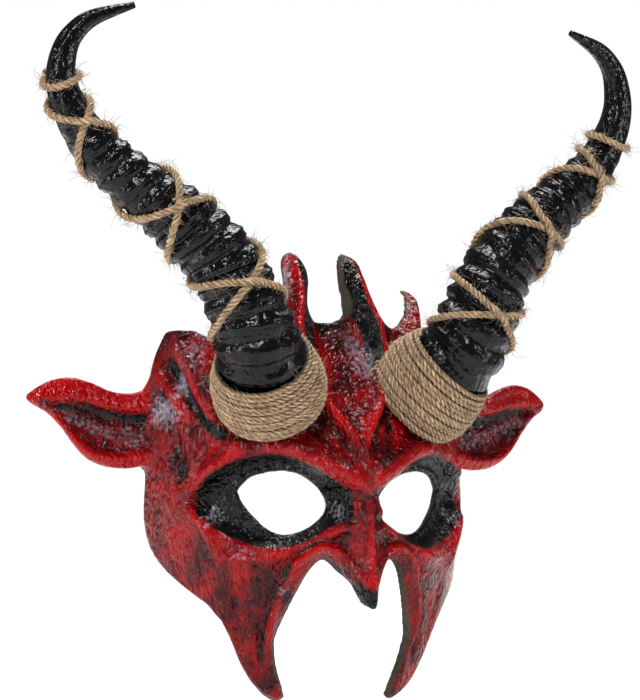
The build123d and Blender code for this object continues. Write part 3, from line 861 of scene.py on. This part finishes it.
def build_face(maps, field):
    points, quads = face_mesh(field)
    points = relax(points.astype(float), quads, 4)
    x, y, z = np.abs(points[:, 0]), points[:, 1], points[:, 2]
    _, u = unroll(x, y, z)
    black = maps.read_at(maps.black, u, z)
    deep = field.sample(field.inside, points)
    raw = smooth_step(deep, 0.8, 2.2)
    _, cup, front = ear_field(x, y, z)
    on_ear = smooth_step(x, 84, 88)
    fold = hump(z, np.interp(x, (88, 140), (33, 45)), 6.5)
    ear_black = smooth_step(-cup, -0.5, 2.5) * (0.48 + 0.5 * fold) * (front > 0)
    black = black * (1 - on_ear) + on_ear * ear_black
    # Painted reflection in patches on the face, and in a band across the ear
    painted_reflection = painted_reflection_at(u, z, np.sign(points[:, 0])) * (1 - on_ear)
    painted_reflection += on_ear * 0.45 * hump(z, np.interp(x, (88, 140), (18, 34)), 6)
    tip = maps.read_at(maps.tip, u, z)
    raw = np.maximum(raw * (1 - 0.85 * tip), tip * smooth_step(deep, 2.6, 3.4))
    raw = raw * (1 - on_ear) + on_ear * smooth_step(-front, 0.5, 2.0)
    # Painted highlight on the ridges, and on the ear outside its cup
    bright = maps.read_at(maps.bright, u, z) * (1 - on_ear)
    bright += on_ear * smooth_step(cup, -1.0, 2.0)
    worn = smooth_step(x, 70, 84) * smooth_step(-z, -6, 12) * (1 - on_ear)
    piece = mesh_object("moulded_face", points, quads, painted_moulding())
    for name, values in (("black", black), ("raw", raw), ("worn", worn), ("painted_reflection", painted_reflection),
                         ("bright", bright)):
        add_vertex_values(piece, name, values)
    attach(piece, "mask")
    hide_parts("face_shell")


# The horns --------------------------------------------------------------------------------------

HORN = ((34, 38, 33, 14.0), (41, 27, 45, 18.5), (48, 18, 56, 19.6), (55.5, 10.5, 68, 19.8),
        (62.5, 9, 84, 18.4), (74, 12, 106, 17.0), (94, 18, 126, 15.4), (117, 24, 144, 12.8),
        (136, 28, 161, 10.4), (147, 30, 178, 8.4), (151, 31, 191, 7.2), (150, 31, 203, 6.2),
        (146, 30, 212, 5.2), (137, 28, 220, 4.0), (118, 22, 227, 1.6))
HORN_RINGS = 520
HORN_SIDES = 110
RIB_PITCH = 9.6
HORN_WIDEST = 19.8


class HornLine:
    """The horn's centreline, evenly spaced, with its frame and radius."""

    def __init__(self, sign):
        fine = catmull(HORN, 40)
        run = run_along(fine[:, :3])
        self.length = run[-1]
        self.s = np.linspace(0, self.length, HORN_RINGS)
        even = np.column_stack([np.interp(self.s, run, fine[:, i]) for i in range(4)])
        self.centre = even[:, :3] * (sign, 1, 1)
        self.radius = even[:, 3]
        self.tangent = unit(np.gradient(self.centre, axis=0))
        front = np.array([0, -1.0, 0])
        front = front - self.tangent * (self.tangent @ front)[:, None]
        self.front = unit(front)
        self.side = np.cross(self.tangent, self.front)

    def at(self, share, angle, reach):
        """Points at shares of the length, angles from the front and reach beyond the axis."""
        place = np.asarray(share) * self.length
        columns = []
        for axis in range(3):
            centre = np.interp(place, self.s, self.centre[:, axis])
            front = np.interp(place, self.s, self.front[:, axis])
            side = np.interp(place, self.s, self.side[:, axis])
            columns.append(centre + reach * (np.cos(angle) * front + np.sin(angle) * side))
        return np.column_stack(columns)

    def radius_at(self, share):
        return np.interp(np.asarray(share) * self.length, self.s, self.radius)


def wave(value, seed, count=5):
    """A smooth repeatable wander between -1 and 1."""
    source = np.random.default_rng(seed)
    total = 0
    for k in range(1, count + 1):
        total = total + np.sin(value * k + source.uniform(0, 6.28)) * source.uniform(0.4, 1) / k
    return total / 1.6


def horn_relief(s, angle, length, seed):
    """Ribs on the lower two thirds, flutes towards the tip."""
    share = s / length
    drift = 2.4 * wave(angle, seed) + 1.6 * wave(s / 17, seed + 1) + 2.0 * np.cos(angle - 0.6)
    drift = drift + 0.8 * wave(angle * 2 + s / 11, seed + 6)
    phase = (s + drift) / RIB_PITCH
    inside = phase - np.floor(phase)
    ring = np.floor(phase)
    size = 0.75 + 0.5 * np.sin(ring * 12.9898 + seed) ** 2
    rib = smooth_step(inside, 0, 0.35) * smooth_step(1 - inside, 0, 0.42)
    ribbed = smooth_step(-share, -0.74, -0.6)
    minor = np.sin(2 * math.pi * (s + 0.6 * drift) / 2.7 + 1.5 * wave(angle * 2, seed + 2))
    flutes = np.sin(7 * angle + 0.02 * s) + 0.5 * np.sin(11 * angle + 1.3)
    nicks = wave(angle * 3 + s / 5, seed + 3) * wave(s / 3.1 + angle, seed + 4)
    crest = hump(inside, 0.52, 0.09) + 0.6 * hump(inside, 0.2, 0.07)
    crest = crest * (0.65 + 0.5 * wave(angle * 2 + 2.1 * ring, seed + 5))
    height = ribbed * (1.8 * size * (rib - 0.45) + 0.8 * crest + 0.08 * minor + 0.7 * nicks)
    return height + (1 - ribbed) * 0.28 * flutes * smooth_step(1 - share, 0, 0.1)


def build_horn(name, line, seed, material):
    s, angle = np.meshgrid(line.s, np.arange(HORN_SIDES) * 2 * math.pi / HORN_SIDES, indexing="ij")
    scale = smooth_step(s, 0, 12) * (0.4 + 0.6 * line.radius / HORN_WIDEST)[:, None]
    radius = line.radius[:, None] + scale * horn_relief(s, angle, line.length, seed)
    radius = np.maximum(radius, 0.4)
    points = (line.centre[:, None] + radius[..., None] * (np.cos(angle)[..., None] * line.front[:, None]
              + np.sin(angle)[..., None] * line.side[:, None]))
    points = points.reshape(-1, 3)
    faces = tube_faces(HORN_RINGS, HORN_SIDES)
    piece = mesh_object(name + "_horn_cast", points, faces, material)
    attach(piece, "mask")
    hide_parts(name + "_horn")


# Twine ------------------------------------------------------------------------------------------

TWINE_RADIUS = 1.85
PLIES = 3
PLY_SIDES = 7
PLY_SHARE = 0.6
TWIST = 9.0
TWINE_STEP = 0.9

HAIR_STEPS = 7
HAIR_RADIUS = 0.13
HAIR_LENGTH = (2.5, 9.5)


def resample(points, gap):
    run = run_along(points)
    count = max(int(run[-1] / gap), 4)
    s = np.linspace(0, run[-1], count)
    return np.column_stack([np.interp(s, run, points[:, i]) for i in range(3)]), s


def carried_frames(points):
    """Frames carried along a line without twisting."""
    tangent = unit(np.gradient(points, axis=0))
    normal = np.zeros_like(points)
    start = np.cross(tangent[0], (0.3, 0.5, 0.8))
    normal[0] = start / np.linalg.norm(start)
    for i in range(1, len(points)):
        n = normal[i - 1] - tangent[i] * (normal[i - 1] @ tangent[i])
        normal[i] = n / np.linalg.norm(n)
    return tangent, normal, np.cross(tangent, normal)


def ply_tubes(points, radius, hub):
    """The twisted plies of a length of twine: points, faces, fibre coordinates and painted-shade
    levels.

    The level is 1 where the fibres lie on top and falls to 0, painted shade, down in the gaps and on
    the side towards the hub.
    """
    points, s = resample(points, TWINE_STEP)
    _, normal, other = carried_frames(points)
    if hub is not None:
        outward = points - hub[0]
        outward = unit(outward - (outward @ hub[1])[:, None] * hub[1])
    rings, faces, strands, rises = [], [], [], []
    ply_radius = radius * PLY_SHARE
    for ply in range(PLIES):
        turn = 2 * math.pi * (s / TWIST + ply / PLIES)
        swell = 1 + 0.10 * wave(s / 3.3 + ply * 2, 11 + ply) + 0.06 * wave(s / 1.1, 12 + ply)
        away = np.cos(turn)[:, None] * normal + np.sin(turn)[:, None] * other
        centre = points + away * (radius - ply_radius) * 1.02
        offset = sum(len(r) for r in rings)
        ring = []
        for side in range(PLY_SIDES):
            a = 2 * math.pi * side / PLY_SIDES + turn * 0.5
            spoke = np.cos(a)[:, None] * normal + np.sin(a)[:, None] * other
            ring.append(centre + spoke * (ply_radius * swell)[:, None])
            off = ring[-1] - points
            # Painted shade: the level falls to 0 down in the gaps between plies, and on the side
            # towards the hub
            lit_share = smooth_step(np.linalg.norm(off, axis=1) / radius, 0.45, 0.95)
            if hub is not None:
                lit_share = lit_share * smooth_step(np.sum(off * outward, axis=1) / radius, 0.0, 0.75)
            rises.append(lit_share)
            fibre = np.full(len(s), side * ply_radius * 2 * math.pi / PLY_SIDES * 1.5) + ply * 31.0
            strands.append(np.column_stack([s * 0.22 + fibre * 0.35, fibre, np.zeros(len(s))]))
        rings.append(np.stack(ring, axis=1).reshape(-1, 3))
        faces += tube_faces(len(points), PLY_SIDES, offset)
    order, height = [], []
    for ply in range(PLIES):
        own = slice(ply * PLY_SIDES, (ply + 1) * PLY_SIDES)
        order.append(np.stack(strands[own], axis=1).reshape(-1, 3))
        height.append(np.stack(rises[own], axis=1).ravel())
    return np.vstack(rings), faces, np.vstack(order), np.concatenate(height)


def fibre_hairs(points, radius, count, source):
    """Loose fibres that stand off the twine as thin three-sided curved hairs."""
    points, _ = resample(points, 1.0)
    tangent, normal, other = carried_frames(points)
    all_points, faces = [], []
    for _ in range(count):
        i = source.integers(1, len(points) - 1)
        turn = source.uniform(0, 2 * math.pi)
        away = math.cos(turn) * normal[i] + math.sin(turn) * other[i]
        heading = away * source.uniform(0.15, 0.8) + tangent[i] * source.uniform(-1.4, 1.4)
        heading /= np.linalg.norm(heading)
        length = source.uniform(*HAIR_LENGTH)
        bend = source.normal(0, 0.3, 3) - 0.12 * away
        place = points[i] + away * radius * 0.8
        offset = len(all_points)
        for step in range(HAIR_STEPS):
            width = HAIR_RADIUS * (1 - 0.75 * step / (HAIR_STEPS - 1))
            side = np.cross(heading, (0.31, 0.77, 0.55))
            side /= np.linalg.norm(side)
            up = np.cross(heading, side)
            for corner in range(3):
                a = 2 * math.pi * corner / 3
                all_points.append(place + width * (math.cos(a) * side + math.sin(a) * up))
            place = place + heading * length / (HAIR_STEPS - 1)
            heading = heading + bend + source.normal(0, 0.08, 3)
            heading /= np.linalg.norm(heading)
        faces += tube_faces(HAIR_STEPS, 3, offset)
    return np.array(all_points), faces


def build_twine(name, node, line, hairs, radius=TWINE_RADIUS, hub=None):
    """One piece of twine work: its plies, and a second piece with its loose fibres."""
    points, faces, strands, lit_share = ply_tubes(line, radius, hub)
    piece = mesh_object(name, points, faces, yarn)
    add_vertex_vectors(piece, "strand", strands)
    add_vertex_values(piece, "lit_share", lit_share)
    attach(piece, "mask")
    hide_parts(node)
    fuzz = mesh_object(name + "_fibres", *fibre_hairs(line, radius, hairs, random), fibre)
    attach(fuzz, "mask")


FOOT = np.array([41.0, 27.0, 45.0])
FOOT_AXIS = np.array([14.5, -17.0, 21.0])
BINDING_PLACE = (-12, -8, 0, 9, 17, 24)
BINDING_RADIUS = (19, 26, 28.5, 28, 26, 23)
BINDING_START, BINDING_SPAN = -10, 33
BINDING_TURNS = 14
BINDING_TWINE = 1.5
WALL_MIDDLE = 1.6


def binding_hub(sign):
    """A point on the binding's axis and the axis's direction, for that side."""
    flip = np.array([sign, 1, 1])
    return FOOT * flip, FOOT_AXIS / np.linalg.norm(FOOT_AXIS) * flip


def binding_line(sign, field):
    """Twine wound in close turns round the horn's foot, kept on the outside of the face."""
    flip = np.array([sign, 1, 1])
    _, axis = binding_hub(1)
    side = np.cross(axis, (0, 1, 0))
    side /= np.linalg.norm(side)
    other = np.cross(axis, side)
    angle = np.arange(0, BINDING_TURNS * 2 * math.pi, 0.06)
    share = angle / angle[-1]
    place = BINDING_START + BINDING_SPAN * share
    reach = np.interp(place, BINDING_PLACE, BINDING_RADIUS) - BINDING_TWINE
    reach += 0.35 * wave(angle * 0.7, 3 if sign > 0 else 5)
    place = place + 0.5 * wave(angle * 0.45, 8 if sign > 0 else 9)
    points = (FOOT + place[:, None] * axis
              + reach[:, None] * (np.cos(angle)[:, None] * side + np.sin(angle)[:, None] * other))
    for _ in range(6):
        deep = field.sample(field.inside, points)
        push = np.clip(deep - WALL_MIDDLE, 0, None)
        slope = np.column_stack([field.sample(field.inside, points + step)
                                 - field.sample(field.inside, points - step)
                                 for step in np.eye(3)])
        slope /= np.linalg.norm(slope, axis=1)[:, None] + 1e-9
        points = points - slope * push[:, None]
    return points * flip


LACING = {"left": ((0, 0.5, 1.5, 2.5, 3), (0.185, 0.299, 0.474, 0.707, 0.775)),
          "right": ((0, 0.5, 1.5, 2.5, 3), (0.18, 0.247, 0.448, 0.631, 0.71))}
RING = {"left": 0.79, "right": 0.723}
LACE_TURNS = 3
LACE_LIFT = 2.9
LACE_REACH = TWINE_RADIUS * 0.85


def lace_line(side, line, direction):
    """One of the two strands that wind opposite ways; the over strand rises at each crossing."""
    turns = np.linspace(0, LACE_TURNS, 400)
    share = np.interp(turns, *LACING[side])
    wide = np.pad(share, 20, mode="reflect", reflect_type="odd")
    share = np.convolve(wide, np.ones(41) / 41, "valid")
    crossing = np.abs(turns * 2 - np.round(turns * 2)) / 2
    lift = LACE_LIFT * smooth_step(-crossing, -0.07, -0.015) if direction < 0 else 0
    angle = math.pi + direction * 2 * math.pi * turns + 0.12 * wave(turns * 3, 21 + direction)
    reach = line.radius_at(share) + LACE_REACH + lift
    return line.at(share, angle, reach)


def ring_line(side, line):
    """The tilted ring of twine where the lacing ends."""
    turns = np.linspace(0, 1.3, 120)
    share = RING[side] + 0.014 * np.cos(2 * math.pi * turns - 0.8) + (turns - 0.6) * 0.01
    reach = line.radius_at(share) + LACE_REACH
    return line.at(share, 2 * math.pi * turns + 1.9, reach)


# Pads, strap and fittings -----------------------------------------------------------------------

FOREHEAD_PAD = dict(place=(0, 26, 24), turn=0, size=(64, 30), rear=0.0)
TEMPLE_PAD = dict(place=(59.6, 56, 48), turn=50, size=(26, 22), rear=7.0)
PAD_STEPS = 22
PAD_ROUND = 72
PAD_CORNER = 2.0 / 5.0
PAD_DEEPEST = 26.0
PAD_STEP = 0.4
WALL_INSIDE = 4.6
STRAP_WIDTH = 15.0
STRAP_THICKNESS = 1.5
STRAP_END = 7.2
PIVOT_Z = 28.0
STRAP_ROUTE = ((69.45, 67), (69.45, 90), (69.45, 113), (69.45, 136), (66.9, 151), (58.5, 161),
               (46, 169.5), (34, 172), (17, 172), (0, 172))
TAIL_ROUTE = ((67.9, 67), (67.9, 72), (67.6, 77), (66.6, 84), (66.35, 92), (66.35, 112),
              (66.35, 132))


def inner_reach(field, start, forward):
    """How far forward from each start the inside of the moulding's wall lies."""
    reach = np.full(len(start), PAD_DEEPEST)
    for step in np.arange(PAD_DEEPEST, PAD_STEP, -PAD_STEP):
        deep = field.sample(field.inside, start + forward * step)
        reach = np.where(deep < WALL_INSIDE, step, reach)
    return reach


def build_pad(name, node, field, sign, place, turn, size, rear, material):
    """A foam pad with a softly crowned rear face, moulded to the inside of the face in front."""
    turn = math.radians(turn)
    across = np.array([math.cos(turn), math.sin(turn), 0])
    back = np.array([-math.sin(turn), math.cos(turn), 0])
    up = np.array([0, 0, 1.0])
    centre = np.array(place, float) + back * rear
    angle = np.arange(PAD_ROUND) * 2 * math.pi / PAD_ROUND
    rim_a, rim_b = (np.sign(way) * np.abs(way) ** PAD_CORNER * length / 2
                    for way, length in zip((np.cos(angle), np.sin(angle)), size))
    rings = []
    for face in (0, 1):
        for step in range(PAD_STEPS):
            r = (step + 0.5) / PAD_STEPS if face == 0 else 1 - (step + 0.5) / PAD_STEPS
            r = r ** 0.7
            flat = centre + np.outer(rim_a * r, across) + np.outer(rim_b * r, up)
            soft = 1.6 * (1 - np.sqrt(np.clip(1 - np.clip((r - 0.82) / 0.18, 0, 1) ** 2, 0, 1)))
            if face == 0:
                rings.append(flat - back * (0.1 + soft))
            else:
                reach = inner_reach(field, flat, -back)
                reach = np.maximum(reach - soft * 0.6, 2.2)
                rings.append(flat - back * reach[:, None])
    points = np.vstack(rings) * (sign, 1, 1)
    count = len(rings)
    piece = mesh_object(name, points, tube_faces(count, PAD_ROUND), material)
    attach(piece, "mask")
    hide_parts(node)


def ribbon_mesh(name, node, route, mirrored, material):
    """Woven elastic on edge: a rounded front end about the rivet, and ribs along its length."""
    line = catmull(route, 14)
    line, _ = resample(np.column_stack([line, np.zeros(len(line))]), 0.8)
    lead = np.arange(-STRAP_END, 0, 0.8)
    front = line[:1] + np.column_stack([np.zeros(len(lead)), lead, np.zeros(len(lead))])
    line = np.vstack([front, line[1:]])
    if mirrored:
        line = np.vstack([line, line[-2::-1] * (-1, 1, 1)])
    tangent = unit(np.gradient(line, axis=0))
    normal = np.column_stack([tangent[:, 1], -tangent[:, 0], np.zeros(len(line))])
    run = run_along(line)
    ends = np.minimum(run, run[-1] - run) if mirrored else run
    full = STRAP_WIDTH / 2
    rounded = np.sqrt(np.clip(full ** 2 - (STRAP_END - ends) ** 2, 1.5, None))
    half = np.where(ends < STRAP_END, rounded, full)
    half = half + 0.06 * wave(run / 3, 31)
    across = np.linspace(-1, 1, 37)
    rings, sides = [], []
    for side, flip in ((1, 1), (-1, -1)):
        for share in across[::flip]:
            edge = np.sqrt(max(1 - abs(share) ** 14, 0))
            rib = 0.07 * math.cos(2 * math.pi * share * 6)
            out = side * (STRAP_THICKNESS / 2 - 0.1) * edge + side * rib * edge
            ring = line + normal * out + np.column_stack([0 * run, 0 * run, half * share + PIVOT_Z])
            rings.append(ring)
            sides.append(np.column_stack([run, np.full(len(run), share * full), 0 * run]))
    count = len(rings)
    points = np.stack(rings, axis=1).reshape(-1, 3)
    piece = mesh_object(name, points, tube_faces(len(line), count), material)
    add_vertex_vectors(piece, "strand", np.stack(sides, axis=1).reshape(-1, 3))
    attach(piece, "strap")
    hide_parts(node)


def dress(endings, material):
    """Gives the finished material to the CAD nodes whose names end so."""
    for name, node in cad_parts.items():
        if name.endswith(endings):
            for material_slot in node.material_slots:
                material_slot.material = material


# Build ------------------------------------------------------------------------------------------

add_camera()
add_stage()
add_lighting()
maps = FaceMaps()
field = FaceField(maps)
build_face(maps, field)
lacquer = horn_lacquer()
yarn = jute()
fibre = loose_fibre()
for side, sign in (("left", -1), ("right", 1)):
    line = HornLine(sign)
    build_horn(side, line, 3 if sign < 0 else 8, lacquer)
    build_twine(side + "_binding_twine", side + "_twine_binding", binding_line(sign, field), 800,
                BINDING_TWINE, binding_hub(sign))
    build_twine(side + "_lace_lower", side + "_lace_under", lace_line(side, line, 1), 650)
    build_twine(side + "_lace_upper", side + "_lace_over", lace_line(side, line, -1), 650)
    build_twine(side + "_lace_knot", side + "_lace_ring", ring_line(side, line), 160)

pad_foam = foam()
build_pad("forehead_foam", "forehead_pad", field, 1, material=pad_foam, **FOREHEAD_PAD)
for side, sign in (("left", -1), ("right", 1)):
    build_pad(side + "_temple_foam", side + "_temple_pad", field, sign, material=pad_foam,
              **TEMPLE_PAD)
webbing = elastic()
ribbon_mesh("elastic_band", "head_strap", STRAP_ROUTE, True, webbing)
ribbon_mesh("elastic_tail", "strap_tail", TAIL_ROUTE, False, webbing)

dress(("slider",), moulded_plastic())
dress(("screw", "washer", "rivet"), plated_steel())
dress(("plug",), turned_wood())
